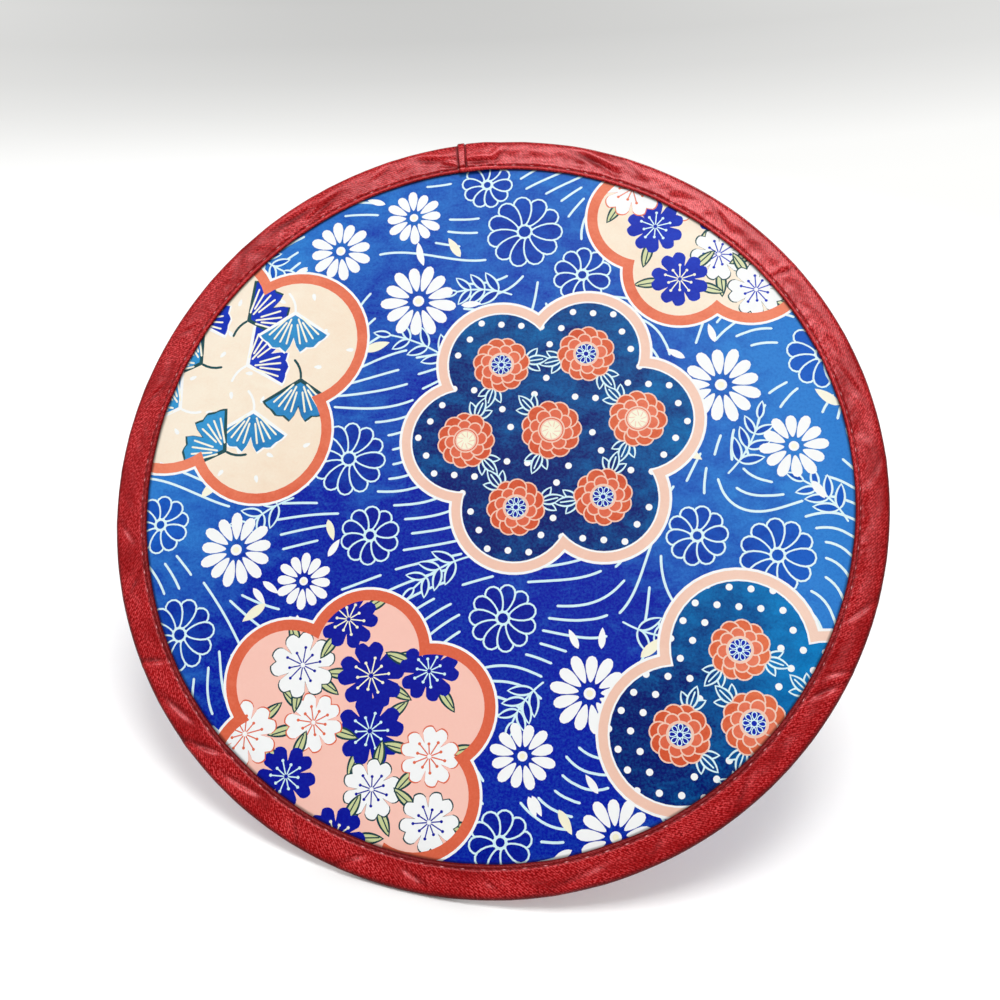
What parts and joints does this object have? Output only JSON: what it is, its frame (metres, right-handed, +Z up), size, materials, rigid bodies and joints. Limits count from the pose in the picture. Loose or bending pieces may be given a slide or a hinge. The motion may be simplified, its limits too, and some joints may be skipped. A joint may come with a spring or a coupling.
{
  "type": "pop-up disc fan",
  "caption": "Round hand fan of two printed satin discs, edged with a folded satin tape that holds a sprung wire hoop.",
  "frame": {"origin": "on the floor, under the middle of the fan's box as it stands on its rim and leans back", "axes": "+X to the right seen from the front, +Y to the back, the way the top leans, +Z up"},
  "size_m": [0.24, 0.1616, 0.1792],
  "materials": {
    "printed_satin": "printed satin with a slight sheen",
    "red_satin": "satin with a fine twill grain",
    "spring_steel": "drawn wire",
    "red_thread": "twisted sewing thread"
  },
  "bodies": {
    "cover": {"front_panel": "printed_satin", "back_panel": "printed_satin", "binding_tape": "red_satin", "needle_thread": "red_thread", "bobbin_thread": "red_thread"},
    "hoop": {"spring_hoop": "spring_steel", "hoop_ferrule": "spring_steel"}
  },
  "joints": [
    {"name": "hoop_slide", "type": "hinge", "parent": "cover", "child": "hoop", "pos_m": [-0.00002, -0.00001, 0.08956], "axis": [0, -0.7431, 0.6691], "continuous": true}
  ]
}
